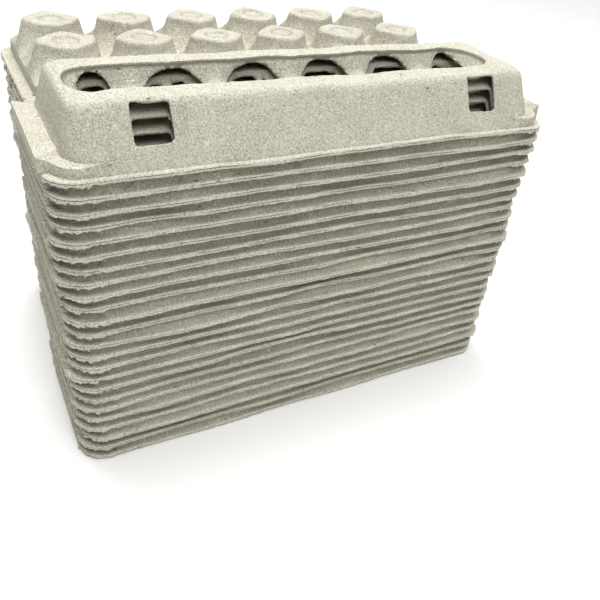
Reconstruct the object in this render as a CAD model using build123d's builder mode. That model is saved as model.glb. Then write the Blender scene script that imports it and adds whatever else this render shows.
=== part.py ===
from build123d import *
import os
from math import asin, atan, cos, degrees, radians, sin, sqrt, tan

# A nested stack of open dozen egg cartons. Each carton is moulded in one piece from paper pulp: its lid
# lies dome up towards -Y, its tray lies cups up towards +Y, and a flat hinge web joins the two rims.
# Lengths are in millimetres and angles in degrees, and the origin is the middle of the stack's foot.

# The stack
carton_count = 24
nest_pitch = 8.25
nest_clearance = 0.3
pulp = 1.8
overrun = 1.0

# The lid, from its rim up
lid_length = 298.0
lid_depth = 105.0
lid_height = 33.0
lid_side_draft = 27.0
lid_corner = 20.0
lid_edge_radius = 6.0
lid_rim_lip = 2.0
lid_end_lip = 9.0
lid_rim_corner = 14.0

# The ledge round each end of the topmost lid, on which another carton's rim would sit
ledge_width = 6.5

# The trough in the top of the lid, and the vents through it
trough_length = 256.0
trough_width = 37.0
trough_depth = 12.0
trough_draft = 32.0
trough_corner = 8.0
vent_length = 33.0
vent_width = 31.0
vent_corner = 9.0
end_vent_length = 22.0

# The two latch holes in the lid's front wall
latch_spacing = 206.0
latch_width = 19.0
latch_height = 17.0
latch_foot = 13.5

# The tray, with two rows of cups for the eggs
tray_length = 300.0
tray_depth = 105.0
tray_rim_corner = 6.0
cells_in_row = 6
cell_rows = 2
cell_pitch = 47.5
cup_height = 28.5
cup_top_width = 34.0
divider_height = 3.0

# The locking flap on the tray's outer edge, with a knob for each latch hole
flap_length = 236.0
flap_depth = 20.0
flap_slant = 12.0
knob_width = 15.0
knob_depth = 12.0
knob_height = 6.0
knob_draft = 20.0

# Places and slopes worked out from the sizes above
hinge_y = (lid_depth - tray_depth - flap_depth) / 2
lid_y = hinge_y - lid_depth / 2
tray_y = hinge_y + tray_depth / 2
flap_y = hinge_y + tray_depth
ledge_height = nest_pitch

# The end walls of the lids slope just enough to nest with the clearance between them
lid_end_draft = degrees(asin((pulp + nest_clearance) / nest_pitch))

# The slope of a cup's wall runs from its hollow's edge at the divider to its outer edge at the top
cup_rise = cup_height - divider_height
cup_run = (cell_pitch - cup_top_width) / 2
cup_lean = atan(cup_run / cup_rise) + asin(pulp / sqrt(cup_rise**2 + cup_run**2))
cup_draft = degrees(cup_lean)

# Outside, two cups meet in a valley above the divider between their hollows
valley_height = divider_height + pulp / sin(cup_lean)


def drafted_block(half_x, half_y, base_z, end_draft, side_draft, corner, foot_z, head_z):
    """A block with sloping walls and cut-off corners, whose half sizes hold at the base height."""

    def profile(half, draft):
        foot_half = half - (foot_z - base_z) * tan(radians(draft))
        head_half = half - (head_z - base_z) * tan(radians(draft))
        return [(-foot_half, foot_z), (foot_half, foot_z), (head_half, head_z), (-head_half, head_z)]

    reach = 2 * (half_x + half_y)
    with BuildPart() as block:
        with BuildSketch(Plane.XZ):
            Polygon(*profile(half_x, end_draft))
        extrude(amount=reach, both=True)
        with BuildSketch(Plane.YZ):
            Polygon(*profile(half_y, side_draft))
        extrude(amount=reach, both=True, mode=Mode.INTERSECT)
        if corner:
            level_edges = block.edges().filter_by(Axis.X) + block.edges().filter_by(Axis.Y)
            chamfer(block.edges() - level_edges, corner)
    return block.part


def rim_plate(length, depth, corner):
    """The flat rim of a lid or a tray before its hollow is cut, one wall thick."""
    with BuildPart() as plate:
        with BuildSketch():
            outline = Rectangle(length, depth)
            chamfer(outline.vertices(), corner)
        extrude(amount=pulp)
    return plate.part


def lid_block(inset, foot_z, head_z):
    """The lid as a solid block, or the hollow one wall inside it."""
    half_x = lid_length / 2 - inset / cos(radians(lid_end_draft))
    half_y = lid_depth / 2 - lid_rim_lip - inset / cos(radians(lid_side_draft))
    corner = lid_corner - (2 - sqrt(2)) * inset
    return drafted_block(half_x, half_y, 0, lid_end_draft, lid_side_draft, corner, foot_z, head_z)


def ledge_block(inset, foot_z, head_z):
    """The wider foot of the lid, whose top is the ledge round each end, or the hollow inside it."""
    half_x = lid_length / 2 + ledge_width - inset
    half_y = lid_depth / 2 - lid_rim_lip - inset / cos(radians(lid_side_draft))
    return drafted_block(half_x, half_y, 0, 0, lid_side_draft, lid_rim_corner, foot_z, head_z)


def trough_block(outset, corner, foot_z, head_z):
    """The pocket of the trough, or the block one wall outside it that gives it walls and a floor."""
    half_x = trough_length / 2 + outset / cos(radians(trough_draft))
    half_y = trough_width / 2 + outset / cos(radians(trough_draft))
    return drafted_block(half_x, half_y, lid_height, -trough_draft, -trough_draft, corner, foot_z, head_z)


def lid_shell(is_top):
    """The lid: a drafted dome with a lip round its rim and a trough along its top."""
    corner = trough_corner if is_top else 0
    floor_z = lid_height - trough_depth
    with BuildPart() as lid:
        add(lid_block(0, 0, lid_height))
        if is_top:
            fillet(lid.edges().group_by(Axis.Z)[-1], lid_edge_radius)
            add(ledge_block(0, 0, ledge_height))
        add(rim_plate(lid_length + 2 * lid_end_lip, lid_depth, lid_rim_corner))
        add(lid_block(pulp, -overrun, lid_height - pulp), mode=Mode.SUBTRACT)
        if is_top:
            add(ledge_block(pulp, -overrun, ledge_height - pulp), mode=Mode.SUBTRACT)
        add(trough_block(pulp, corner, floor_z - pulp, lid_height - pulp / 2))
        add(trough_block(0, corner, floor_z, lid_height + overrun), mode=Mode.SUBTRACT)
    return lid.part


def vent_cutter(is_top):
    """The vents along the trough, cut straight down, with the outer two shorter than the rest."""
    with BuildPart() as cutter:
        with BuildSketch(Plane.XY.offset(lid_height - trough_depth - pulp - overrun)):
            with GridLocations(cell_pitch, 0, cells_in_row - 2, 1):
                Rectangle(vent_length, vent_width)
            with GridLocations((cells_in_row - 1) * cell_pitch, 0, 2, 1):
                Rectangle(end_vent_length, vent_width)
        extrude(amount=trough_depth + pulp + overrun)
        if is_top:
            chamfer(cutter.edges().filter_by(Axis.Z), vent_corner)
    return cutter.part


def latch_cutter():
    """The two latch holes through the lid's front wall."""
    with BuildPart() as cutter:
        with BuildSketch(Plane.XZ.offset(lid_depth / 2)):
            with Locations((0, latch_foot + latch_height / 2)):
                with GridLocations(latch_spacing, 0, 2, 1):
                    Rectangle(latch_width, latch_height)
        extrude(amount=-(lid_depth - trough_width) / 2 + pulp)
    return cutter.part


def cup_block(base_z, foot_z, head_z):
    """One cup of the tray as a solid block, or the hollow inside it, as wide as its cell at the base height.
    Its corners are planed off from that height up, so that its top is a square standing on one corner."""
    half = cell_pitch / 2
    rise = head_z - base_z
    head_half = half - rise * tan(cup_lean)
    facet_half = sqrt(2) * half
    facet_draft = degrees(atan((facet_half - head_half / sqrt(2)) / rise))
    facets = drafted_block(facet_half, facet_half, base_z, facet_draft, facet_draft, 0, foot_z, head_z)
    with BuildPart() as cup:
        add(drafted_block(half, half, base_z, cup_draft, cup_draft, 0, foot_z, head_z))
        add(facets, rotation=(0, 0, 45), mode=Mode.INTERSECT)
    return cup.part


def tray_shell():
    """The tray: a flat rim round two rows of hollow cups."""
    cup = cup_block(valley_height, 0, cup_height)
    hollow = cup_block(divider_height, -overrun, cup_height - pulp)
    with BuildPart() as tray:
        with GridLocations(cell_pitch, cell_pitch, cells_in_row, cell_rows):
            add(cup)
        add(rim_plate(tray_length, tray_depth, tray_rim_corner))
        with GridLocations(cell_pitch, cell_pitch, cells_in_row, cell_rows):
            add(hollow, mode=Mode.SUBTRACT)
    return tray.part


def knob_block(inset, foot_z, head_z):
    """One knob of the locking flap as a solid block, or the hollow one wall inside it."""
    wall = inset / cos(radians(knob_draft))
    half_x = knob_width / 2 - wall
    half_y = knob_depth / 2 - wall
    return drafted_block(half_x, half_y, 0, knob_draft, knob_draft, 0, foot_z, head_z)


def flap_plate(is_top):
    """The locking flap, flat as it was moulded, narrowing to its outer edge, with its hollow knobs."""
    root_half = flap_length / 2
    edge_half = root_half - flap_slant
    with BuildPart() as flap:
        with BuildSketch():
            Polygon((-root_half, 0), (root_half, 0), (edge_half, flap_depth), (-edge_half, flap_depth))
        extrude(amount=pulp)
        if is_top:
            with Locations((0, flap_depth / 2, 0)):
                with GridLocations(latch_spacing, 0, 2, 1):
                    add(knob_block(0, 0, knob_height))
                    add(knob_block(pulp, -overrun, knob_height - pulp), mode=Mode.SUBTRACT)
    return flap.part


def carton_form(is_top, has_holes):
    """One open carton with its rim at height zero."""
    with BuildPart() as form:
        with Locations((0, lid_y, 0)):
            add(lid_shell(is_top))
            if has_holes:
                add(vent_cutter(is_top), mode=Mode.SUBTRACT)
                add(latch_cutter(), mode=Mode.SUBTRACT)
        with Locations((0, tray_y, 0)):
            add(tray_shell())
        with Locations((0, flap_y, 0)):
            add(flap_plate(is_top))
    return form.part


nested_form = carton_form(is_top=False, has_holes=False)
second_form = carton_form(is_top=False, has_holes=True)
top_form = carton_form(is_top=True, has_holes=True)

os.makedirs("parts", exist_ok=True)
for number in range(1, carton_count + 1):
    with BuildPart() as carton:
        with Locations((0, 0, (number - 1) * nest_pitch)):
            if number == carton_count:
                add(top_form)
            elif number == carton_count - 1:
                add(second_form)
            else:
                add(nested_form)
    carton.part.label = f"carton_{number:02d}"
    export_step(carton.part, f"parts/{carton.part.label}.step")
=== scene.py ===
import math

import bpy
import numpy as np
from mathutils import Matrix, Vector


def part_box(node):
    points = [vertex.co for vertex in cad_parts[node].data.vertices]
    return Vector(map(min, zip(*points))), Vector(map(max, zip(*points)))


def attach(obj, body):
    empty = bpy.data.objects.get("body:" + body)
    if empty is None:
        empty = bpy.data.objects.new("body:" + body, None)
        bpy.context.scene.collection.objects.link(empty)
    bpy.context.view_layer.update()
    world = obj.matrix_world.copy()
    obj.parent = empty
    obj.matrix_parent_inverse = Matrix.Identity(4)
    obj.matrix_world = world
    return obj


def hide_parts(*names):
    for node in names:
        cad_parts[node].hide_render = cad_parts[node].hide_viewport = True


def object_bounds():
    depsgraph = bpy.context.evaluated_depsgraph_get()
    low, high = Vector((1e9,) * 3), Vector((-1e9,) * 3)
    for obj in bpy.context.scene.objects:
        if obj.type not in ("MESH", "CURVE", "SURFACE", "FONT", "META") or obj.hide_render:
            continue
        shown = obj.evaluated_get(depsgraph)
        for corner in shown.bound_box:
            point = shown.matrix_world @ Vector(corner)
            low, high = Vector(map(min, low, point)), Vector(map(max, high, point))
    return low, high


# A nested stack of open egg cartons in moulded paper pulp. Each carton is one surface, made of rings of
# points carried round the lid, the tray and each egg cup, and it is given the thickness of the pulp
# afterwards. Lengths are in metres. A carton's own frame has the hinge at Y = 0 and the foot of its rim
# at Z = 0.

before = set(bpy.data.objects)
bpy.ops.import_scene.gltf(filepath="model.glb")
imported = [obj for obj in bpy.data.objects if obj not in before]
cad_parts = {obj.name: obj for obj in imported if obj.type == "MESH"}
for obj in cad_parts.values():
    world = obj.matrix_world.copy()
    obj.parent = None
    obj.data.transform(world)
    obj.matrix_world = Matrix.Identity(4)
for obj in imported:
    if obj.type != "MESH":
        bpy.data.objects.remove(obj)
cad_low, cad_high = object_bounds()
carton_names = sorted(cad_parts)

# The pulp, and the rows of the lip round a carton's rim from its lower edge up, with a crack in its face
PULP = 0.0016
LIP_INSETS = (0.0002, 0, 0.0009, 0.0001, 0.0006, 0.002)
LIP_HEIGHTS = (0.0003, 0.0013, 0.00165, 0.0019, 0.0027, 0.0026)
CRACK_ROW = 2
RIM_EDGE = LIP_HEIGHTS[0]
RIM_TOP = LIP_HEIGHTS[-1]

# The lid
LID_DEPTH = 0.105
LID_Y = -LID_DEPTH / 2
LID_HEIGHT = 0.033
LID_RIM_HALF_X = 0.1575
LID_RIM_HALF_Y = 0.0522
LID_RIM_CORNER = 0.016
WALL_HALF_X = 0.1497
WALL_HALF_Y = 0.0505
WALL_FOOT_CORNER = 0.02
WALL_HEAD_CORNER = 0.0095
END_DRAFT = math.radians(14.75)
SIDE_DRAFT = math.radians(27.0)
SHOULDER_RADIUS = 0.0068
END_SHOULDER_RADIUS = 0.0042
CROWN = 0.0004

# The folds along the hinge and the flap's root: the half length of the straight part of the rims, and how
# far round a corner the fold fades out
FOLD_HALF_X = LID_RIM_HALF_X - LID_RIM_CORNER
FOLD_TURN_SHARE = 0.1

# The skirt below the lid's corners and ends, with its ledge, and the lug on each end
SKIRT_HALF_X = 0.1527
SKIRT_HALF_Y = 0.0478
SKIRT_LEAN = 0.0008
SKIRT_CORNER = 0.013
SKIRT_START_X = 0.1285
SKIRT_FADE = 0.013
LEDGE_HEIGHT = 0.0076
LEDGE_RISE = 0.0007
FRONT_CLIMB = 0.003
LUG_HALF_Y = 0.0395
LUG_OUT = 0.0055
LUG_EDGE = 0.0012
LUG_RISE = 0.0008
TOP_LUG_RISE = 0.0026

# The trough along the lid's top, a little off its middle, and the ridges across its floor
TROUGH_X = -0.0042
TROUGH_HALF_X = 0.1325
TROUGH_HALF_Y = 0.0185
TROUGH_CORNER = 0.0165
TROUGH_DEPTH = 0.0125
TROUGH_DRAFT = math.radians(32.0)
TROUGH_END_SHARE = 1.5
TROUGH_EDGE = 0.0004
TROUGH_STEP = 0.0012
TROUGH_FOOT = 0.0014
RIDGE_HEIGHT = 0.003
RIDGE_WIDTH = 0.005

# The vents in the trough. A torn vent's size is a share of a clean one's. The sine waves that make a vent
# ragged repeat so many times round it, and start anywhere within the range of phases, in radians.
VENT_HALF_X = 0.0205
VENT_HALF_Y = 0.0172
VENT_POWER = 2.3
VENT_DROP = 0.0022
END_VENT_HALF_X = 0.011
END_VENT_SHIFT = 0.0045
CLEAN_RAGGED_SHARE = 0.012
TORN_RAGGED_SHARE = 0.08
TORN_VENT_SHARE = 1.03
RAGGED_REPEATS = (2, 3, 5, 8, 13, 21)
RAGGED_PHASES = 7

# The latch holes
LATCH_X = 0.103
LATCH_HALF_X = 0.0102
LATCH_LOW = 0.0135
LATCH_HIGH = 0.0318
LATCH_CORNER = 0.0012

# The tray and its cups, whose tops are rounded squares that stand on one corner
TRAY_Y = 0.0525
TRAY_HALF_X = 0.15
TRAY_HALF_Y = 0.0522
CELL = 0.0475
CELLS_IN_ROW = 6
CELL_ROWS = 2
BLOCK_HALF_X = CELLS_IN_ROW * CELL / 2
BLOCK_HALF_Y = CELL_ROWS * CELL / 2
BLOCK_SLOPE = math.radians(8.0)
CUP_HEIGHT = 0.0285
CUP_LEAN = math.radians(22.0)
CUP_TOP_REACH = 0.0158
CUP_TOP_POWER = 1.3
CUP_ROUND_SHARE = 0.5
CUP_EDGE_RADIUS = 0.0024
CUP_HOLLOW = 0.7
VALLEY = 0.0086
SADDLE = 0.0072
SADDLE_FLAT = 0.003
SADDLE_RISE = 0.0006

# The round mark on a cup's top: a groove round a dish, which is as deep as a share of the groove. The
# rings that form the groove spread so many of its widths to each side.
MARK_RADIUS = 0.007
MARK_WIDTH = 0.0012
MARK_DEPTH = 0.001
MARK_UNEVEN_SHARE = 0.6
MARK_REPEATS = 2
MARK_RINGS = 5
MARK_RING_SPREAD = 1.6
DISH_SHARE = 1 / 3

# The locking flap
FLAP_HALF_X = 0.118
FLAP_DEPTH = 0.0205
FLAP_DROP = 0.0004
FLAP_BEND_SHARE = 0.7
FLAP_STRAIGHT_SHARE = 0.35
FLAP_NARROWING_SHARE = 0.1
KNOB_HALF_X = 0.0075
KNOB_HALF_Y = 0.006
KNOB_HEIGHT = 0.006
KNOB_SLOPE = 0.003

# How finely a carton is divided. The topmost is fine all over, those that show through its vents have a
# fine lid, and the rest are fine only along the lip of the lid, with the rings above it reduced. The
# lid's counts are along a side, an end and a corner, and its rows are those of skirt, ledge, wall,
# shoulder, crown and trough. A cup's rows are those of its climb, its rounded edge and its top.
POINTS_PER_REDUCED = 4
SHOWN_THROUGH_VENTS = 2
TOP_LEVEL = {
    "lid_counts": (168, 48, 20),
    "lid_rows": (5, 4, 8, 6, 4, 12),
    "reduced": False,
    "lug_rise": TOP_LUG_RISE,
    "cell_count": 14,
    "cup_rows": (9, 4, 6),
    "tray_corner_count": 8,
    "flap_rows": 12,
    "knobs": True,
}
SECOND_LEVEL = {
    "lid_counts": (144, 40, 16),
    "lid_rows": (2, 2, 4, 3, 2, 8),
    "reduced": False,
    "lug_rise": LUG_RISE,
    "cell_count": 12,
    "cup_rows": (2, 2, 1),
    "tray_corner_count": 4,
    "flap_rows": 4,
    "knobs": False,
}
NESTED_LEVEL = {
    "lid_counts": (192, 56, 24),
    "lid_rows": (2, 1, 2, 2, 1, 3),
    "reduced": True,
    "lug_rise": LUG_RISE,
    "cell_count": 8,
    "cup_rows": (1, 1, 1),
    "tray_corner_count": 3,
    "flap_rows": 4,
    "knobs": False,
}

# Points that fall on the same step are merged, heights this near to each other or equal to so many digits
# are the same, and an edge that turns further than an angle is sharp
MERGE_STEP = 2e-6
SAME_HEIGHT = PULP / 1000
HEIGHT_DIGITS = 6
SHARP_ANGLE = math.radians(38)

# The rim that stands a little open, counted from 0 at the bottom, and the place along it
OPEN_RIM = 7
OPEN_X = -0.02
OPEN_WIDTH = 0.05
OPEN_LIFT = 0.0022

# How far a carton turns and shifts as it lies in the stack, and the seed of the lowest one
FIRST_SEED = 100
LIE_TURN = 0.0012
LIE_SHIFT = (0.0008, 0.0005, 0.0002)

# How far an edge frays, more so at the corners and less round the holes, and how far up a wall the waves
# of its rim reach
FRAY = 0.0001
CORNER_FRAY = 2.2
TORN_FRAY_SHARE = 1 / 3
CORNER_SAG = 0.0006
RIM_FADE = 0.004

# Waves in the pulp: the height of each, its length, and the number of plane waves in it, whose own
# lengths spread between two shares of that length
WAVE_LENGTH_SHARES = (0.7, 1.5)
RIM_SWELL = (0.00035, 0.12, 6)
RIM_RIPPLE = (0.00008, 0.022, 9)
RIM_SWAY = (0.0004, 0.06, 6)
EDGE_TATTER = (FRAY, 0.004, 14)
CRACK_BREAKS = (0.6, 0.03, 9)
CRACK_OPEN_SHARE = 0.55

# The lumps of the pulp, the finer grain on them, and the shares of a lump that push a wall along X and Y
TOP_LUMPS = 0.0002
LUMPS = 0.00012
LUMP_LENGTH = 0.035
LUMP_WAVES = 12
LUMP_X_SHARE = 0.5
LUMP_Y_SHARE = 0.8
GRAIN_SHARE = 0.35
GRAIN_LENGTH = 0.007
GRAIN_WAVES = 18

# How strong the painted shade, the pale parts and the painted shadow of a carton are, how far up its wall
# the painted shade sets in, and half the height of the painted shadow line along the trough's edge. The
# crown's paleness is a painted highlight, the lip's is pale fibre with painted highlight, and a torn edge's
# is pale fibre.
SHADE_RISE = 0.003
CORNER_SHADE = 0.8
TROUGH_SHADE = 0.9
FLANGE_SHADE = 0.6
CROWN_PAINTED_HIGHLIGHT = 0.35
TORN_PALE = 0.6
CORNER_PAINTED_SHADOW = 0.5
EDGE_PAINTED_SHADOW = 1.0
MARK_PAINTED_SHADE = 0.55
EDGE_LINE_HALF = TROUGH_EDGE / 8

# The colours of the pulp, and how much of one shows where its part is strongest
PULP_ROUGHNESS = 0.95
PULP_SPECULAR = 0.12
DARK_PULP = (0.52, 0.497, 0.41, 1)
LIGHT_PULP = (0.60, 0.58, 0.488, 1)
# Pale fibre of the lip and torn edges, also used as painted highlight on the lip and the crown
PALE_AND_HIGHLIGHT_PULP = (0.74, 0.72, 0.625, 1)
PALE_SHARE = 0.55
# Painted shade, in recesses and on walls that face away from the light
SHADED_PULP = (0.32, 0.3, 0.235, 1)
SHADED_SHARE = 0.4
# Painted shadow: in the lip's groove, along the trough's edge, in the grooves of the cups' marks and in the
# front corners' recesses
PAINTED_SHADOW_PULP = (0.13, 0.115, 0.08, 1)
PAINTED_SHADOW_SHARE = 0.8
DARK_GRAIN = (0.26, 0.24, 0.18, 1)
PALE_GRAIN = (0.8, 0.78, 0.69, 1)
ROUND_SPECK = (0.12, 0.1, 0.07, 1)
FINE_SPECK = (0.2, 0.18, 0.13, 1)
LONG_SPECK = (0.13, 0.11, 0.08, 1)
LONG_SPECK_STRETCH = (0.55, 1, 1.2)
SPECK_CORE_SHARE = 0.5
DARK_FIBRE = (0.22, 0.19, 0.13, 1)
PALE_FIBRE = (0.8, 0.78, 0.7, 1)
FIBRE_CORE_SHARE = 0.3
FIBRE_PATCH_SHARE = 0.7
FIBRE_PATCH_SEED = 5
NOISE_MIDDLE = 0.5
BUMP_LUMP_SHARE = 0.7
BUMP_DISTANCE = 0.0006

# The sockets of a node that mixes two colours
MIX_SHARE = 0
MIX_FIRST = 6
MIX_SECOND = 7
MIX_RESULT = 2

# The floor and the lights. A lamp has a name, a place, a size and a power in watts.
FLOOR_SIZE = 6
FLOOR_Z = -0.0005
FLOOR_COLOUR = (0.93, 0.93, 0.92, 1)
FLOOR_ROUGHNESS = 0.9
WORLD_COLOUR = (1, 1, 1, 1)
WORLD_STRENGTH = 0.14
LAMPS = (
    ("key", (-0.1, 0.5, 1.4), 1.0, 16),
    ("front", (-0.12, -1.0, 1.3), 0.6, 5.3),
)
LAMP_AIM = Vector((0, -0.03, 0.12))
SKY_STRENGTH = 2.25
SKY_ANGLE = math.radians(50)
SKY_TURN = (math.radians(8), math.radians(6), 0)

# The camera: its lens and sensor in millimetres, its turns in radians and its place
CAMERA_LENS = 39.706
CAMERA_SENSOR = 36
CAMERA_NEAR = 0.01
CAMERA_FAR = 20
CAMERA_YAW = 0.5457
CAMERA_PITCH = 0.6319
CAMERA_ROLL = -0.1235
CAMERA_PLACE = Vector((-0.19065, -0.40207, 0.3398))


def span(start, stop, count):
    """Evenly spaced values from start up to stop, without stop itself."""
    return np.linspace(start, stop, count, endpoint=False)


def smooth_step(values):
    """Rises from 0 to 1 between the values 0 and 1, level at both ends: three squares less two cubes."""
    share = np.clip(values, 0, 1)
    return share * share * (3 - 2 * share)


def soft_plus(values, size):
    """The larger of a value and zero, with the bend between them rounded over a size."""
    return size * np.logaddexp(0, values / size)


def outline(counts):
    """A rectangle with quarter-circle corners, anticlockwise from the left end of its front, as two
    parts. A point is the first part times the half sizes less the corner, plus the second part times the
    corner. The second half of the outline is the first half turned through half a turn."""
    long_count, end_count, corner_count = counts
    turn = span(0, math.pi / 2, corner_count)
    whole = np.ones(corner_count)
    front = np.stack([span(-1, 1, long_count), np.full(long_count, -1)], 1)
    end = np.stack([np.ones(end_count), span(-1, 1, end_count)], 1)
    flat = np.concatenate([front, np.stack([whole, -whole], 1), end, np.stack([whole, whole], 1)])
    arc = np.concatenate(
        [
            np.broadcast_to((0, -1), (long_count, 2)),
            np.stack([np.sin(turn), -np.cos(turn)], 1),
            np.broadcast_to((1, 0), (end_count, 2)),
            np.stack([np.cos(turn), np.sin(turn)], 1),
        ]
    )
    return np.concatenate([flat, -flat]), np.concatenate([arc, -arc])


def ring(half_x, half_y, corner, counts):
    """Plan points round a rectangle with quarter-circle corners. A half size can differ at each point."""
    flat, arc = outline(counts)
    half = np.stack(np.broadcast_arrays(half_x, half_y, flat[:, 0])[:2], 1)
    return flat * (half - corner) + arc * corner


def wall_half(height, foot_half, draft, top, radius):
    """Half width of a drafted wall at a height: a straight slope, then an arc that ends level at the top."""
    arc_half = foot_half - top * math.tan(draft) - radius * math.tan((math.pi / 2 - draft) / 2)
    rise = np.clip(height - (top - radius), 0, radius)
    on_arc = arc_half + np.sqrt(radius**2 - rise**2)
    on_slope = foot_half - height * math.tan(draft)
    return np.where(height < top - radius + radius * math.sin(draft), on_slope, on_arc)


def band(first, second):
    """Triangles between two closed rings of vertex numbers of the same length."""
    next_first = np.roll(first, -1)
    next_second = np.roll(second, -1)
    lower = np.stack([first, next_first, next_second], 1)
    upper = np.stack([first, next_second, second], 1)
    return np.concatenate([lower, upper])


def reducing_band(fine, coarse):
    """Triangles between a closed ring and one with a quarter of its points."""
    a, b, c, d = fine.reshape(-1, POINTS_PER_REDUCED).T
    e = np.roll(a, -1)
    near = coarse
    far = np.roll(coarse, -1)
    groups = [(a, b, near), (b, c, near), (c, far, near), (c, d, far), (d, e, far)]
    return np.concatenate([np.stack(group, 1) for group in groups])


def ring_surface(rings, heights, fine_rows):
    """Points and triangles of a surface through closed rings, given from the outside in.
    A ring has the same points as the one before, or a quarter of them after the fine rows."""
    points = np.concatenate([np.column_stack([plan, height]) for plan, height in zip(rings, heights)])
    starts = np.cumsum([0] + [len(plan) for plan in rings])
    numbers = [np.arange(starts[row], starts[row + 1]) for row in range(len(rings))]
    triangles = []
    for row in range(len(rings) - 1):
        join = reducing_band if row == fine_rows - 1 else band
        triangles.append(join(numbers[row], numbers[row + 1]))
    return points, np.concatenate(triangles)


def grid_surface(points):
    """Points and triangles of an open grid, whose columns follow each other along +X and rows along +Y."""
    rows, columns = points.shape[:2]
    numbers = np.arange(rows * columns).reshape(rows, columns)
    a = numbers[:-1, :-1].ravel()
    b = numbers[:-1, 1:].ravel()
    c = numbers[1:, 1:].ravel()
    d = numbers[1:, :-1].ravel()
    triangles = np.concatenate([np.stack([a, b, c], 1), np.stack([a, c, d], 1)])
    return points.reshape(-1, 3), triangles


def trough_drop(inward):
    """Depth below the lid's top at a distance in from the trough's edge: a small step, then a slope that
    ends in a rounded bend."""
    slope = soft_plus((inward - TROUGH_EDGE) / math.tan(TROUGH_DRAFT), TROUGH_EDGE / 2)
    slope = slope + TROUGH_STEP * smooth_step(inward / TROUGH_EDGE)
    return TROUGH_DEPTH - soft_plus(TROUGH_DEPTH - slope, TROUGH_FOOT)


def lip_rows(half_x, half_y, lug, fold):
    """Half sizes and heights of the lip's rows. Where there is a lug the rows stand above each other, and
    along a fold they lie level beside each other."""
    upright = np.linspace(RIM_EDGE, RIM_TOP, len(LIP_INSETS))
    beside = np.linspace(0, LIP_INSETS[-1], len(LIP_INSETS))
    for inset, height, lug_height, level_inset in zip(LIP_INSETS, LIP_HEIGHTS, upright, beside):
        row_height = height + (lug_height - height) * lug
        row_inset = inset + (level_inset - inset) * fold
        row_half_x = half_x - inset * (1 - lug) * (1 - fold)
        yield row_half_x, half_y - row_inset, row_height + (RIM_TOP - row_height) * fold


def fold_share(towards_side):
    """How far a point of an outline belongs to a fold, from how far its arc turns towards that side."""
    return smooth_step(1 - (1 - towards_side) / FOLD_TURN_SHARE)


def end_shares(counts):
    """How far each point of the lid's outline belongs to the skirt, which fades in along the sides, and
    to a lug, which takes up the middle of each end."""
    flat, arc = outline(counts)
    flat_x = LID_RIM_HALF_X - LID_RIM_CORNER
    flat_y = LID_RIM_HALF_Y - LID_RIM_CORNER
    skirt = smooth_step((np.abs(flat[:, 0]) * flat_x - SKIRT_START_X) / SKIRT_FADE)
    across = np.abs(flat[:, 1] * flat_y + arc[:, 1] * LID_RIM_CORNER)
    on_end = np.abs(arc[:, 0]) > math.cos(math.pi / 4)
    return skirt, smooth_step((LUG_HALF_Y + LUG_EDGE / 2 - across) / LUG_EDGE) * on_end


def wall_corner(height):
    """Corner radius of the lid's wall at a height, between those of its foot and its head."""
    return WALL_FOOT_CORNER + (WALL_HEAD_CORNER - WALL_FOOT_CORNER) * height / LID_HEIGHT


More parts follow.
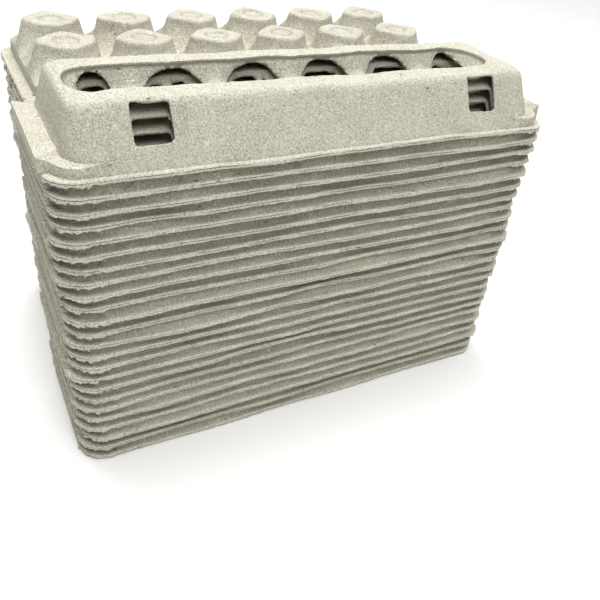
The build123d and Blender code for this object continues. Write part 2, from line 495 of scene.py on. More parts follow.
def lid_surface(counts, reduced, rows, lug_rise):
    """The lid from the edge of its lip: lip, skirt, ledge round the ends, drafted wall, shoulder, crown
    and trough. The wall follows its two drafts, and the skirt stands upright below the corners and ends,
    with a lug on each end. The ledge joins the skirt's top to the wall's foot."""
    skirt_rows, ledge_rows, wall_rows, shoulder_rows, crown_rows, trough_rows = rows
    side_slope = math.tan(SIDE_DRAFT)
    end_slope = math.tan(END_DRAFT)
    rings = []
    heights = []

    def add_ring(half_x, half_y, corner, height, ring_counts, middle_x=0):
        plan = ring(half_x, half_y, corner, ring_counts)
        rings.append(plan + (middle_x, LID_Y))
        heights.append(np.broadcast_to(height, len(plan)))

    skirt, lug = end_shares(counts)
    fold = fold_share(outline(counts)[1][:, 1])
    for half_x, half_y, height in lip_rows(LID_RIM_HALF_X, LID_RIM_HALF_Y, lug, fold):
        add_ring(half_x, half_y, LID_RIM_CORNER, height, counts)
    fine_rows = len(rings) if reduced else 0
    upper = tuple(count // POINTS_PER_REDUCED for count in counts) if reduced else counts

    skirt, lug = end_shares(upper)
    for share in np.linspace(0, 1, skirt_rows + 1):
        height = RIM_TOP + (LEDGE_HEIGHT - RIM_TOP) * share + lug_rise * lug * share
        half_x = SKIRT_HALF_X + SKIRT_LEAN * (1 - share) + (LUG_OUT - SKIRT_LEAN * (1 - share)) * lug
        front = WALL_HALF_Y - height * side_slope
        half_y = front + (SKIRT_HALF_Y + SKIRT_LEAN * (1 - share) - front) * skirt
        add_ring(half_x, half_y, SKIRT_CORNER, height, upper)

    skirt_half_x = SKIRT_HALF_X + LUG_OUT * lug
    wall_half_x = WALL_HALF_X - LEDGE_HEIGHT * end_slope
    foot = LEDGE_HEIGHT
    for share in np.linspace(0, 1, ledge_rows + 1)[1:]:
        end_height = LEDGE_HEIGHT + LEDGE_RISE * share + lug_rise * lug
        front_height = LEDGE_HEIGHT + FRONT_CLIMB * share
        foot = front_height + (end_height - front_height) * skirt
        half_x = skirt_half_x + (wall_half_x - skirt_half_x) * share
        front = WALL_HALF_Y - foot * side_slope
        half_y = front + (SKIRT_HALF_Y - front) * skirt * (1 - share)
        corner = SKIRT_CORNER + (wall_corner(LEDGE_HEIGHT) - SKIRT_CORNER) * share
        add_ring(half_x, half_y, corner, foot, upper)

    wall_head = LID_HEIGHT - SHOULDER_RADIUS * (1 - math.sin(SIDE_DRAFT))
    front_foot = LEDGE_HEIGHT + FRONT_CLIMB
    turns = np.linspace(SIDE_DRAFT, math.pi / 2, shoulder_rows + 1)[1:]
    wall_climbs = np.linspace(front_foot, wall_head, wall_rows + 1)[1:]
    shoulder_climbs = LID_HEIGHT - SHOULDER_RADIUS * (1 - np.sin(turns))
    for climb in np.concatenate([wall_climbs, shoulder_climbs]):
        height = foot + (climb - front_foot) * (LID_HEIGHT - foot) / (LID_HEIGHT - front_foot)
        half_x = wall_half(height, WALL_HALF_X, END_DRAFT, LID_HEIGHT, END_SHOULDER_RADIUS)
        half_y = wall_half(height, WALL_HALF_Y, SIDE_DRAFT, LID_HEIGHT, SHOULDER_RADIUS)
        add_ring(half_x, half_y, wall_corner(climb), height, upper)

    top_half_x = float(wall_half(LID_HEIGHT, WALL_HALF_X, END_DRAFT, LID_HEIGHT, END_SHOULDER_RADIUS))
    top_half_y = float(wall_half(LID_HEIGHT, WALL_HALF_Y, SIDE_DRAFT, LID_HEIGHT, SHOULDER_RADIUS))
    for share in np.linspace(0, 1, crown_rows + 1)[1:]:
        half_x = top_half_x + (TROUGH_HALF_X - top_half_x) * share
        half_y = top_half_y + (TROUGH_HALF_Y - top_half_y) * share
        corner = WALL_HEAD_CORNER + (TROUGH_CORNER - WALL_HEAD_CORNER) * share
        height = LID_HEIGHT + CROWN * math.sin(math.pi * share)
        add_ring(half_x, half_y, corner, height, upper, TROUGH_X * share)

    for share in np.concatenate([[TROUGH_EDGE / TROUGH_HALF_Y], np.linspace(0, 1, trough_rows + 1)[1:]]):
        inward = TROUGH_HALF_Y * share
        half_x = TROUGH_HALF_X - TROUGH_END_SHARE * inward
        half_y = TROUGH_HALF_Y - inward
        corner = TROUGH_CORNER * (1 - share)
        drop = trough_drop(inward)
        across = np.mod(ring(half_x, half_y, corner, upper)[:, 0] + CELL / 2, CELL) - CELL / 2
        ridge = RIDGE_HEIGHT * (drop / TROUGH_DEPTH) ** 2 * np.exp(-((across / RIDGE_WIDTH) ** 2))
        add_ring(half_x, half_y, corner, LID_HEIGHT - drop + ridge, upper, TROUGH_X)
    return ring_surface(rings, heights, fine_rows)


def cup_surface(centre_x, centre_y, edge_count, climb_rows, edge_rows, top_rows):
    """One egg cup from the square edge of its cell up to its top, whose outline has its corners on the
    cell's axes: the powers of its two coordinates add up to the power of its reach. Edges shared with
    another cup rise to a saddle halfway along, and towards the cell's corners the wall is hollow. The top
    carries a round mark."""
    base = ring(CELL / 2, CELL / 2, 0, (edge_count, edge_count, 1))
    outside = np.abs(base + (centre_x, centre_y)) > np.array([BLOCK_HALF_X, BLOCK_HALF_Y]) - PULP / 2
    between = np.max(np.cos(math.pi * base / CELL), axis=1) ** 2
    edge_height = np.where(outside.any(1), VALLEY, VALLEY + SADDLE * between)
    base_reach = np.linalg.norm(base, axis=1)
    direction = base / base_reach[:, None]
    diagonal = (2 * direction[:, 0] * direction[:, 1]) ** 2
    top_reach = CUP_TOP_REACH * (np.abs(direction) ** CUP_TOP_POWER).sum(1) ** (-1 / CUP_TOP_POWER)
    slope_head = CUP_HEIGHT - CUP_EDGE_RADIUS * (1 - math.sin(CUP_LEAN))
    slope_reach = top_reach + CUP_EDGE_RADIUS * math.cos(CUP_LEAN)
    foot_reach = base_reach * np.where(outside.any(1), 1, 1 - SADDLE_FLAT / (CELL / 2))
    foot_height = edge_height + SADDLE_RISE
    reaches = [base_reach]
    heights = [edge_height]
    for share in np.linspace(0, 1, climb_rows + 1):
        reaches.append(slope_reach + (foot_reach - slope_reach) * (1 - share) ** (1 + CUP_HOLLOW * diagonal))
        heights.append(foot_height + (slope_head - foot_height) * share)
    for turn in np.linspace(CUP_LEAN, math.pi / 2, edge_rows + 1)[1:]:
        reaches.append(top_reach + CUP_EDGE_RADIUS * math.cos(turn))
        heights.append(np.full(len(base), CUP_HEIGHT - CUP_EDGE_RADIUS * (1 - math.sin(turn))))
    mean_reach = np.mean(top_reach)
    across_mark = MARK_RADIUS + MARK_WIDTH * np.linspace(MARK_RING_SPREAD, -MARK_RING_SPREAD, MARK_RINGS)
    steps = np.array([0])
    if top_rows > 1:
        steps = np.concatenate([np.linspace(mean_reach, across_mark[0], top_rows)[1:-1], across_mark, steps])
    angle = np.arctan2(direction[:, 1], direction[:, 0])
    uneven = 1 + MARK_UNEVEN_SHARE * np.sin(MARK_REPEATS * angle + centre_x / CELL)
    for step in steps:
        round_share = smooth_step((1 - step / mean_reach) / CUP_ROUND_SHARE)
        reach = (top_reach + (mean_reach - top_reach) * round_share) * step / mean_reach
        groove = MARK_DEPTH * np.exp(-(((reach - MARK_RADIUS) / MARK_WIDTH) ** 2)) * uneven
        dish = DISH_SHARE * MARK_DEPTH * smooth_step((MARK_RADIUS - reach) / MARK_WIDTH)
        reaches.append(reach)
        heights.append(CUP_HEIGHT - groove - dish)
    rings = [direction * reach[:, None] + (centre_x, centre_y + TRAY_Y) for reach in reaches]
    return ring_surface(rings, heights, 0)


def tray_rim_surface(counts):
    """The tray's rim from the edge of its lip in to the rectangle that the cells fill."""
    corner = TRAY_HALF_X - LID_RIM_HALF_X + LID_RIM_CORNER
    rings = []
    heights = []

    def add_ring(half_x, half_y, size, height):
        rings.append(ring(half_x, half_y, size, counts) + (0, TRAY_Y))
        heights.append(np.broadcast_to(height, len(rings[-1])))

    flat, arc = outline(counts)
    at_flap = (arc[:, 1] == 1) & (np.abs(flat[:, 0]) * FOLD_HALF_X < FLAP_HALF_X)
    fold = np.maximum(fold_share(-arc[:, 1]), at_flap)
    for half_x, half_y, height in lip_rows(TRAY_HALF_X, TRAY_HALF_Y, 0, fold):
        add_ring(half_x, half_y, corner, height)
    spread_out = (VALLEY - RIM_TOP) * math.tan(BLOCK_SLOPE)
    add_ring(BLOCK_HALF_X + spread_out + PULP, BLOCK_HALF_Y + spread_out, corner, RIM_TOP)
    add_ring(BLOCK_HALF_X + spread_out, BLOCK_HALF_Y + spread_out, corner / 2, RIM_TOP + PULP / 2)
    add_ring(BLOCK_HALF_X, BLOCK_HALF_Y, 0, VALLEY)
    return ring_surface(rings, heights, 0)


def hinge_surface(lid_count, tray_count):
    """The web between the two rims, from the lid's back edge to the tray's front edge, as a fan of
    triangles on each step of the tray's edge."""
    lid_x = np.linspace(-FOLD_HALF_X, FOLD_HALF_X, lid_count + 1)
    tray_x = np.linspace(-FOLD_HALF_X, FOLD_HALF_X, tray_count + 1)
    lid_y = LID_Y + LID_RIM_HALF_Y
    tray_y = TRAY_Y - TRAY_HALF_Y
    near = np.column_stack([lid_x, np.full(lid_count + 1, lid_y), np.full(lid_count + 1, RIM_TOP)])
    far = np.column_stack([tray_x, np.full(tray_count + 1, tray_y), np.full(tray_count + 1, RIM_TOP)])
    ratio = lid_count // tray_count
    step = np.arange(tray_count)
    far_number = lid_count + 1 + step
    triangles = [np.stack([step * ratio, far_number + 1, far_number], 1)]
    for part in range(ratio):
        near_number = step * ratio + part
        triangles.append(np.stack([near_number, near_number + 1, far_number + 1], 1))
    return np.concatenate([near, far]), np.concatenate(triangles)


def flap_surface(tray_count, rows, knobs):
    """The locking flap from the tray's back edge out: a grid that narrows at its outer corners and drops
    at its outer edge, with two knobs where they are asked for."""
    x = np.linspace(-FOLD_HALF_X, FOLD_HALF_X, tray_count + 1)
    x = x[np.abs(x) < FLAP_HALF_X]
    share = np.linspace(0, 1, rows)
    out = TRAY_Y + TRAY_HALF_Y + FLAP_DEPTH * share
    past_straight = (share - FLAP_STRAIGHT_SHARE) / (1 - FLAP_STRAIGHT_SHARE)
    narrowing = 1 - FLAP_NARROWING_SHARE * smooth_step(past_straight)
    grid_x = x[None, :] * narrowing[:, None]
    grid_y = np.broadcast_to(out[:, None], grid_x.shape)
    edge_share = smooth_step((share - FLAP_BEND_SHARE) / (1 - FLAP_BEND_SHARE))
    grid_z = np.broadcast_to(RIM_TOP - FLAP_DROP * edge_share[:, None], grid_x.shape)
    if knobs:
        across = (KNOB_HALF_X + KNOB_SLOPE / 2 - np.abs(np.abs(grid_x) - LATCH_X)) / KNOB_SLOPE
        middle_y = TRAY_Y + TRAY_HALF_Y + FLAP_DEPTH / 2
        deep = (KNOB_HALF_Y + KNOB_SLOPE / 2 - np.abs(grid_y - middle_y)) / KNOB_SLOPE
        grid_z = grid_z + KNOB_HEIGHT * smooth_step(np.minimum(across, deep))
    return grid_surface(np.stack([grid_x, grid_y, grid_z], 2))


def joined(surfaces):
    """One surface from several: points that meet are merged, and triangles that this closes are left out."""
    starts = np.cumsum([0] + [len(points) for points, _ in surfaces])
    all_points = np.concatenate([points for points, _ in surfaces])
    numbered = np.concatenate([triangles + start for (_, triangles), start in zip(surfaces, starts)])
    keys = np.round(all_points / MERGE_STEP).astype(np.int64)
    _, first, numbers = np.unique(keys, axis=0, return_index=True, return_inverse=True)
    merged = numbers.reshape(-1)[numbered]
    a, b, c = merged.T
    return all_points[first], merged[(a != b) & (b != c) & (c != a)]


def carton_surface(level):
    """The whole carton before its holes are cut and its pulp is roughened, divided as its level says."""
    cell_count = level["cell_count"]
    tray_count = CELLS_IN_ROW * cell_count
    lid = lid_surface(level["lid_counts"], level["reduced"], level["lid_rows"], level["lug_rise"])
    rim = tray_rim_surface((tray_count, CELL_ROWS * cell_count, level["tray_corner_count"]))
    hinge = hinge_surface(level["lid_counts"][0], tray_count)
    flap = flap_surface(tray_count, level["flap_rows"], level["knobs"])
    cups = []
    for row in range(CELL_ROWS):
        for column in range(CELLS_IN_ROW):
            centre_x = (column - (CELLS_IN_ROW - 1) / 2) * CELL
            centre_y = (row - (CELL_ROWS - 1) / 2) * CELL
            cups.append(cup_surface(centre_x, centre_y, cell_count, *level["cup_rows"]))
    return joined([lid, rim, hinge, flap] + cups)


def waves(points, wave, generator):
    """A sum of plane waves in random directions, about one wavelength long, whose spread is about the
    wave's height."""
    height, length, count = wave
    directions = generator.normal(size=(count, 3))
    directions /= np.linalg.norm(directions, axis=1)[:, None]
    lengths = length * generator.uniform(*WAVE_LENGTH_SHARES, count)
    phases = generator.uniform(0, 2 * math.pi, count)
    angles = points @ (directions / lengths[:, None]).T * 2 * math.pi + phases
    return height * (np.sin(angles).sum(1) * math.sqrt(2 / count))


def hole_field(points, ragged_share, vent_share, generator):
    """Distance from the outline of the nearest hole, above zero outside it. A vent is a squarish ellipse
    in plan, a share of its full size, made ragged by a few sine waves round it. A latch hole is a
    rectangle with rounded corners in front view."""
    x, y, z = (points - (0, LID_Y, 0)).T
    field = np.ones(len(points))
    for cell in range(CELLS_IN_ROW):
        centre_x = (cell - (CELLS_IN_ROW - 1) / 2) * CELL
        half_x = VENT_HALF_X * vent_share
        if cell in (0, CELLS_IN_ROW - 1):
            half_x = END_VENT_HALF_X * vent_share
            centre_x = centre_x - math.copysign(END_VENT_SHIFT, centre_x)
        across = (x - centre_x - TROUGH_X) / half_x
        deep = y / (VENT_HALF_Y * vent_share)
        angle = np.arctan2(deep, across)
        size = np.ones(len(points))
        for repeats in RAGGED_REPEATS:
            height = ragged_share / math.sqrt(repeats) * generator.normal()
            size += height * np.sin(repeats * angle + generator.uniform(0, RAGGED_PHASES))
        measure = (np.abs(across) ** VENT_POWER + np.abs(deep) ** VENT_POWER) ** (1 / VENT_POWER)
        vent = np.maximum((measure / size - 1) * half_x, z - LID_HEIGHT + VENT_DROP)
        field = np.minimum(field, vent)
    half_z = (LATCH_HIGH - LATCH_LOW) / 2
    from_side = np.abs(np.abs(x) - LATCH_X) - LATCH_HALF_X + LATCH_CORNER
    from_level = np.abs(z - LATCH_LOW - half_z) - half_z + LATCH_CORNER
    outer = np.hypot(np.maximum(from_side, 0), np.maximum(from_level, 0))
    latch = outer + np.minimum(np.maximum(from_side, from_level), 0) - LATCH_CORNER
    return np.minimum(field, np.where(y < -TROUGH_HALF_Y, latch, 1))


def clipped(points, triangles, field):
    """Cuts a surface along the line where a field of its points is zero, and keeps the side above zero. A
    cut edge gets a new point on the line. Also returns which points are new."""
    above = field > 0
    count = above[triangles].sum(1)

    def turned(group, flags):
        first = np.argmax(flags[group], axis=1)
        return np.take_along_axis(group, (first[:, None] + np.arange(3)) % 3, axis=1)

    tips = turned(triangles[count == 1], above)
    stubs = turned(triangles[count == 2], ~above)
    cuts = np.concatenate([tips[:, [0, 1]], tips[:, [0, 2]], stubs[:, [0, 1]], stubs[:, [0, 2]]])
    edges, numbers = np.unique(np.sort(cuts, axis=1), axis=0, return_inverse=True)
    low, high = edges.T
    share = field[low] / (field[low] - field[high])
    fresh = points[low] + share[:, None] * (points[high] - points[low])
    ends = np.cumsum([len(tips), len(tips), len(stubs)])
    tip_a, tip_b, stub_a, stub_b = np.split(numbers.reshape(-1) + len(points), ends)
    kept = np.concatenate(
        [
            triangles[count == 3],
            np.stack([tips[:, 0], tip_a, tip_b], 1),
            np.stack([stub_a, stubs[:, 1], stubs[:, 2]], 1),
            np.stack([stub_a, stubs[:, 2], stub_b], 1),
        ]
    )
    used, renumbered = np.unique(kept, return_inverse=True)
    everything = np.concatenate([points, fresh])
    return everything[used], renumbered.reshape(-1, 3), used >= len(points)


def open_edge(count, triangles):
    """Which of the points lie on an edge that only one triangle has."""
    edges = np.concatenate([triangles[:, [0, 1]], triangles[:, [1, 2]], triangles[:, [2, 0]]])
    keys, uses = np.unique(np.sort(edges, axis=1), axis=0, return_counts=True)
    on_edge = np.zeros(count, bool)
    on_edge[keys[uses == 1].ravel()] = True
    return on_edge


def corner_share(points):
    """How near a point lies to the ends of its carton, from 0 along the middle to 1 past the corners."""
    return smooth_step((np.abs(points[:, 0]) - SKIRT_START_X) / SKIRT_FADE)


def rim_share(points):
    """How far a point follows its rim: 1 up to the rim's top, and above it falling off exponentially."""
    return np.exp(-np.maximum(points[:, 2] - RIM_TOP, 0) / RIM_FADE)


def roughened(points, triangles, torn, generator, lumps):
    """Gives a carton its uneven pulp: lumps all over, a rim that waves up and down, and frayed open
    edges. Returns the points, how pale each is, from 0 for a plain wall to 1 on the lip, where the paleness
    is pale fibre and painted highlight, and how strong the painted shadow is in the groove along the lip's
    face."""
    near_rim = rim_share(points)
    level = points * (1, 1, 0)
    lift = waves(level, RIM_SWELL, generator) + waves(level, RIM_RIPPLE, generator)
    push = waves(points, (lumps, LUMP_LENGTH, LUMP_WAVES), generator)
    grain = waves(points, (GRAIN_SHARE * lumps, GRAIN_LENGTH, GRAIN_WAVES), generator)
    sway = waves(level, RIM_SWAY, generator)
    rough = points.copy()
    rough[:, 2] += lift * near_rim + (push + grain) * (1 - near_rim)
    rough[:, 1] += sway + LUMP_Y_SHARE * push + grain
    rough[:, 0] += LUMP_X_SHARE * push
    rim_edge = (open_edge(len(points), triangles) & ~torn).astype(float)
    corner = corner_share(points)
    tatter = np.stack([waves(points, EDGE_TATTER, generator) for axis in range(3)], 1)
    tatter += FRAY * generator.normal(size=points.shape)
    rough += tatter * ((1 + CORNER_FRAY * corner) * rim_edge + TORN_FRAY_SHARE * torn)[:, None]
    rough[:, 2] -= CORNER_SAG * corner * rim_edge
    # Painted shadow in the groove along the lip's face, wherever the groove stays open
    in_crack = np.abs(points[:, 2] - LIP_HEIGHTS[CRACK_ROW]) < SAME_HEIGHT
    broken = np.clip(CRACK_OPEN_SHARE + waves(level, CRACK_BREAKS, generator), 0, 1)
    rough[:, 1] += in_crack * (1 - broken) * np.sign(points[:, 1] - LID_Y) * LIP_INSETS[CRACK_ROW]
    # The lip's rows are pale: pale fibre, and painted highlight where the lip catches the light. Torn edges
    # are pale fibre.
    lip_heights = np.round(LIP_HEIGHTS[:-1], HEIGHT_DIGITS)
    on_lip = np.isin(np.round(points[:, 2], HEIGHT_DIGITS), lip_heights).astype(float)
    return rough, np.maximum(on_lip, TORN_PALE * torn), in_crack * broken


def top_marks(points, painted_shadow):
    """Painted shade, painted highlight and painted shadow lines of the topmost carton: painted shade in the
    trough and on the flange, a painted highlight on the crown, and painted shadow lines along the trough's
    edge and in the grooves round the marks on the cups."""
    x, y, z = points.T
    in_trough = (np.abs(x - TROUGH_X) <= TROUGH_HALF_X) & (np.abs(y - LID_Y) <= TROUGH_HALF_Y)
    # Painted shade on the trough's walls below its step, and on the tray's flange past the cups
    below = in_trough * smooth_step((LID_HEIGHT - z) / TROUGH_STEP)
    flange = (y > 0) * smooth_step((np.abs(x) - BLOCK_HALF_X) / PULP)
    # Painted highlight on the crown
    crown = smooth_step((z - LID_HEIGHT) / TROUGH_STEP + 1) * (1 - below)
    # Painted shadow as a thin line along the trough's edge, below the crown's edge
    edge_height = LID_HEIGHT - trough_drop(TROUGH_EDGE)
    edge = in_trough * (np.abs(z - edge_height) < EDGE_LINE_HALF)
    # Painted shade in the groove round each cup's mark
    from_middle_x = np.mod(x, CELL) - CELL / 2
    from_middle_y = np.mod(y - TRAY_Y, CELL) - CELL / 2
    from_mark = (np.hypot(from_middle_x, from_middle_y) - MARK_RADIUS) / MARK_WIDTH
    mark = (y > 0) * smooth_step((z - CUP_HEIGHT) / CUP_EDGE_RADIUS + 1) * np.exp(-(from_mark**2))
    lines = np.maximum(EDGE_PAINTED_SHADOW * edge, MARK_PAINTED_SHADE * mark)
    return TROUGH_SHADE * below + FLANGE_SHADE * flange, CROWN_PAINTED_HIGHLIGHT * crown, np.maximum(painted_shadow, lines)


def nested_marks(points, painted_shadow):
    """Painted shade and painted shadow of a carton that lies under another: the wall above its rim gets
    painted shade, more so at the ends, and painted shadow at the front corners beside the lug."""
    # Painted shade on the wall above the rim, under the next carton's lip, stronger towards the ends
    recess = smooth_step((points[:, 2] - RIM_TOP) / SHADE_RISE)
    corner = corner_share(points)
    # Painted shadow in the deep recess at the front corners beside the lug
    beside_lug = smooth_step((np.abs(points[:, 1] - LID_Y) - LUG_HALF_Y) / LUG_EDGE + 1)
    dark = CORNER_PAINTED_SHADOW * recess * corner * beside_lug * (points[:, 1] < LID_Y)
    return recess * (1 + CORNER_SHADE * corner), np.maximum(painted_shadow, dark)


def laid(name, points, is_top, generator):
    """Moves points from a carton's own frame to its place in the stack. A carton under another turns and
    shifts a little at random, one rim stands open along a bell curve, and no point of the surface, which
    gets its wall later, goes below the foot of the stack."""
    low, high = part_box(name)
    turn = LIE_TURN * generator.normal() * (not is_top)
    shift = generator.normal(size=3) * LIE_SHIFT * (not is_top)
    placed = points.copy()
    placed[:, 0] = points[:, 0] - turn * points[:, 1] + shift[0] + (low.x + high.x) / 2
    placed[:, 1] = points[:, 1] + turn * points[:, 0] + shift[1] + low.y + LID_DEPTH
    placed[:, 2] = points[:, 2] + shift[2] + low.z
    if name == carton_names[OPEN_RIM]:
        front_rim = rim_share(points) * (points[:, 1] < LID_Y)
        placed[:, 2] += OPEN_LIFT * front_rim * np.exp(-(((points[:, 0] - OPEN_X) / OPEN_WIDTH) ** 2))
    placed[:, 2] = np.maximum(placed[:, 2], cad_low[2])
    return placed


def pulp_mesh(name, points, triangles, marks):
    """A mesh of smooth triangles, sharp where they turn far, with one attribute for each kind of mark."""
    mesh = bpy.data.meshes.new(name)
    mesh.vertices.add(len(points))
    mesh.vertices.foreach_set("co", points.ravel())
    mesh.loops.add(triangles.size)
    mesh.loops.foreach_set("vertex_index", triangles.ravel().astype(np.int32))
    mesh.polygons.add(len(triangles))
    mesh.polygons.foreach_set("loop_start", np.arange(0, triangles.size, 3, dtype=np.int32))
    mesh.polygons.foreach_set("use_smooth", np.ones(len(triangles), bool))
    for mark, values in marks.items():
        attribute = mesh.attributes.new(mark, "FLOAT", "POINT")
        attribute.data.foreach_set("value", values.astype(np.float32))
    mesh.update(calc_edges=True)
    mesh.validate()
    mesh.set_sharp_from_angle(angle=SHARP_ANGLE)
    return mesh


def carton_piece(name, is_top, shape, generator, material):
    """Makes the piece that stands for one carton, and puts it in the place of its node. The holes of the
    topmost carton are clean, and those of the rest are torn."""
    points, triangles = shape
    ragged_share = CLEAN_RAGGED_SHARE if is_top else TORN_RAGGED_SHARE
    vent_share = 1 if is_top else TORN_VENT_SHARE
    field = hole_field(points, ragged_share, vent_share, generator)
    smooth, triangles, torn = clipped(points, triangles, field)
    lumps = TOP_LUMPS if is_top else LUMPS
    rough, pale, painted_shadow = roughened(smooth, triangles, torn, generator, lumps)
    # The topmost carton gets painted shade, a painted highlight on its crown and painted shadow lines; the
    # rest get painted shade and painted shadow in their recesses
    if is_top:
        shade, crown_highlight, painted_shadow = top_marks(smooth, painted_shadow)
        pale = np.maximum(pale, crown_highlight)
    else:
        shade, painted_shadow = nested_marks(rough, painted_shadow)
    placed = laid(name, rough, is_top, generator)
    mesh = pulp_mesh(f"{name}_pulp", placed, triangles, {"pale": pale, "painted_shadow": painted_shadow, "shade": shade})
    mesh.materials.append(material)
    piece = bpy.data.objects.new(f"{name}_pulp", mesh)
    bpy.context.scene.collection.objects.link(piece)
    wall = piece.modifiers.new("wall", "SOLIDIFY")
    wall.thickness = PULP
    wall.offset = -1
    wall.use_even_offset = False
    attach(piece, "root")
    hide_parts(name)


def pulp_material():
    """Grey-beige pulp: broad mottling, pale fibre on the lip and torn edges with painted highlight on the
    lip and the crown, painted shade, fine grain, dark specks, thin fibres, painted shadow in grooves and
    recesses, and a bump of grain and lumps. Each colour is mixed over those before it, and a scale is in
    repeats for each metre."""
    material = bpy.data.materials.new("pulp")
    material.use_nodes = True
    nodes = material.node_tree.nodes
    links = material.node_tree.links
    shader = nodes["Principled BSDF"]
    shader.inputs["Roughness"].default_value = PULP_ROUGHNESS
    shader.inputs["Specular IOR Level"].default_value = PULP_SPECULAR
    place = nodes.new("ShaderNodeTexCoord").outputs["Object"]

    def feed(socket, value):
        if isinstance(value, bpy.types.NodeSocket):
            links.new(value, socket)
        else:
            socket.default_value = value

    def noise(scale, detail, roughness, seed=0.0):
        node = nodes.new("ShaderNodeTexNoise")
        node.noise_dimensions = "4D"
        feed(node.inputs["W"], seed)
        feed(node.inputs["Scale"], scale)
        feed(node.inputs["Detail"], detail)
        feed(node.inputs["Roughness"], roughness)
        feed(node.inputs["Vector"], place)
        return node.outputs["Fac"]

    def ramp(value, low, high, strength=1.0):
        node = nodes.new("ShaderNodeMapRange")
        feed(node.inputs["From Min"], low)
        feed(node.inputs["From Max"], high)
        feed(node.inputs["To Max"], strength)
        feed(node.inputs["Value"], value)
        return node.outputs["Result"]

    def math_node(operation, first, second=0.0):
        node = nodes.new("ShaderNodeMath")
        node.operation = operation
        feed(node.inputs[0], first)
        feed(node.inputs[1], second)
        return node.outputs[0]

    def mixed(share, first, second):
        node = nodes.new("ShaderNodeMix")
        node.data_type = "RGBA"
        feed(node.inputs[MIX_SHARE], share)
        feed(node.inputs[MIX_FIRST], first)
        feed(node.inputs[MIX_SECOND], second)
        return node.outputs[MIX_RESULT]

    def specks(scale, radius, strength, stretch=(1, 1, 1)):
        longer = nodes.new("ShaderNodeVectorMath")
        longer.operation = "MULTIPLY"
        feed(longer.inputs[0], place)
        feed(longer.inputs[1], stretch)
        node = nodes.new("ShaderNodeTexVoronoi")
        feed(node.inputs["Scale"], scale)
        feed(node.inputs["Vector"], longer.outputs[0])
        return ramp(node.outputs["Distance"], radius, radius * SPECK_CORE_SHARE, strength)

    def fibres(scale, width, seed, strength):
        from_middle = math_node("SUBTRACT", noise(scale, detail=0.5, roughness=0.5, seed=seed), NOISE_MIDDLE)
        line = ramp(math_node("ABSOLUTE", from_middle), width, width * FIBRE_CORE_SHARE)
        spread = noise(scale * FIBRE_PATCH_SHARE, detail=1, roughness=0.5, seed=seed + FIBRE_PATCH_SEED)
        return math_node("MULTIPLY", line, ramp(spread, low=0.56, high=0.6, strength=strength))

    def marked(mark, share):
        node = nodes.new("ShaderNodeAttribute")
        node.attribute_name = mark
        return math_node("MULTIPLY", node.outputs["Fac"], share)

    mottling = ramp(noise(scale=45, detail=3, roughness=0.6), low=0.35, high=0.65)
    dark_grain = ramp(noise(scale=1100, detail=1, roughness=0.5), low=0.46, high=0.68, strength=0.75)
    pale_grain = ramp(noise(scale=950, detail=1, roughness=0.5, seed=3), low=0.54, high=0.7, strength=0.65)
    colour = mixed(mottling, DARK_PULP, LIGHT_PULP)
    for share, layer in (
        # pale fibre with painted highlight, then painted shade
        (marked("pale", PALE_SHARE), PALE_AND_HIGHLIGHT_PULP),
        (marked("shade", SHADED_SHARE), SHADED_PULP),
        (dark_grain, DARK_GRAIN),
        (pale_grain, PALE_GRAIN),
        (specks(scale=95, radius=0.055, strength=0.75), ROUND_SPECK),
        (specks(scale=330, radius=0.11, strength=0.45), FINE_SPECK),
        (specks(scale=70, radius=0.065, strength=0.85, stretch=LONG_SPECK_STRETCH), LONG_SPECK),
        (fibres(scale=110, width=0.008, seed=11, strength=0.6), DARK_FIBRE),
        (fibres(scale=140, width=0.012, seed=23, strength=0.6), PALE_FIBRE),
        # painted shadow in grooves and recesses
        (marked("painted_shadow", PAINTED_SHADOW_SHARE), PAINTED_SHADOW_PULP),
    ):
        colour = mixed(share, colour, layer)
    feed(shader.inputs["Base Color"], colour)
    grain = noise(scale=1000, detail=2, roughness=0.6, seed=7)
    lumps = noise(scale=230, detail=2, roughness=0.5, seed=9)
    bump = nodes.new("ShaderNodeBump")
    feed(bump.inputs["Strength"], 1.0)
    feed(bump.inputs["Distance"], BUMP_DISTANCE)
    feed(bump.inputs["Height"], math_node("ADD", grain, math_node("MULTIPLY", lumps, BUMP_LUMP_SHARE)))
    feed(shader.inputs["Normal"], bump.outputs["Normal"])
    return material


def add_floor():
    """A pale, dull floor under the stack."""
    bpy.ops.mesh.primitive_plane_add(size=FLOOR_SIZE, location=(0, 0, FLOOR_Z))
    floor = bpy.context.object
    floor.name = "floor"
    paint = bpy.data.materials.new("floor_paint")
    paint.use_nodes = True
    shader = paint.node_tree.nodes["Principled BSDF"]
    shader.inputs["Base Color"].default_value = FLOOR_COLOUR
    shader.inputs["Roughness"].default_value = FLOOR_ROUGHNESS
    floor.data.materials.append(paint)


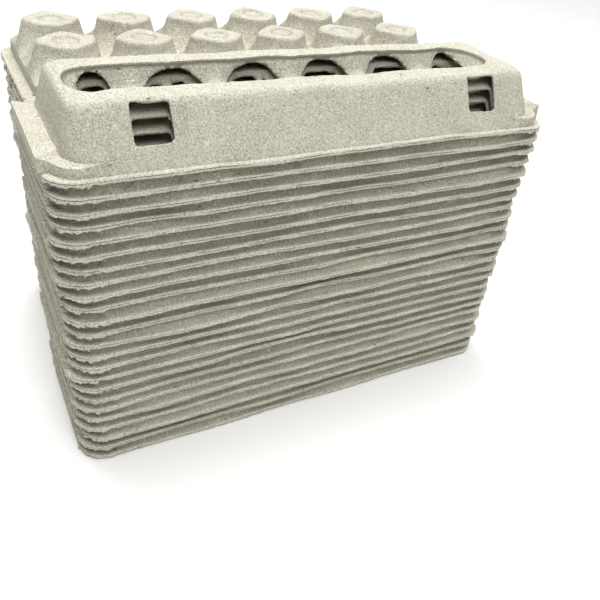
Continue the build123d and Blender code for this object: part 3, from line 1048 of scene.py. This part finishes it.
def add_lights():
    """A dim white world, lamps above and in front that face the stack, and a broad sun for the sky."""
    world = bpy.data.worlds.new("studio")
    world.use_nodes = True
    background = world.node_tree.nodes["Background"]
    background.inputs["Color"].default_value = WORLD_COLOUR
    background.inputs["Strength"].default_value = WORLD_STRENGTH
    bpy.context.scene.world = world
    bpy.context.scene.view_settings.view_transform = "Standard"

    def add_light(name, kind, energy):
        lamp = bpy.data.lights.new(name, kind)
        lamp.energy = energy
        light = bpy.data.objects.new(name, lamp)
        bpy.context.scene.collection.objects.link(light)
        return light

    for name, place, size, power in LAMPS:
        light = add_light(name, "AREA", power)
        light.data.size = size
        light.location = place
        aim = LAMP_AIM - Vector(place)
        light.rotation_euler = aim.to_track_quat("-Z", "Y").to_euler()
    sky = add_light("sky", "SUN", SKY_STRENGTH)
    sky.data.angle = SKY_ANGLE
    sky.rotation_euler = SKY_TURN


def add_camera():
    """The camera at the photograph's angle: it looks along its yaw and pitch and rolls round that line."""
    lens = bpy.data.cameras.new("camera")
    lens.lens = CAMERA_LENS
    lens.sensor_width = CAMERA_SENSOR
    lens.clip_start = CAMERA_NEAR
    lens.clip_end = CAMERA_FAR
    camera = bpy.data.objects.new("camera", lens)
    along = math.cos(CAMERA_PITCH)
    forward = Vector((math.sin(CAMERA_YAW) * along, math.cos(CAMERA_YAW) * along, -math.sin(CAMERA_PITCH)))
    level = Vector((math.cos(CAMERA_YAW), -math.sin(CAMERA_YAW), 0))
    down = forward.cross(level)
    right = math.cos(CAMERA_ROLL) * level + math.sin(CAMERA_ROLL) * down
    back = -forward
    up = back.cross(right)
    camera.matrix_world = Matrix(
        (
            (right.x, up.x, back.x, CAMERA_PLACE.x),
            (right.y, up.y, back.y, CAMERA_PLACE.y),
            (right.z, up.z, back.z, CAMERA_PLACE.z),
            (0, 0, 0, 1),
        )
    )
    bpy.context.scene.collection.objects.link(camera)
    bpy.context.scene.camera = camera


pulp = pulp_material()
top_shape = carton_surface(TOP_LEVEL)
second_shape = carton_surface(SECOND_LEVEL)
nested_shape = carton_surface(NESTED_LEVEL)
for number, name in enumerate(carton_names):
    above = len(carton_names) - 1 - number
    shape = nested_shape
    if above == 0:
        shape = top_shape
    elif above <= SHOWN_THROUGH_VENTS:
        shape = second_shape
    generator = np.random.default_rng(FIRST_SEED + number)
    carton_piece(name, above == 0, shape, generator, pulp)
add_floor()
add_lights()
add_camera()
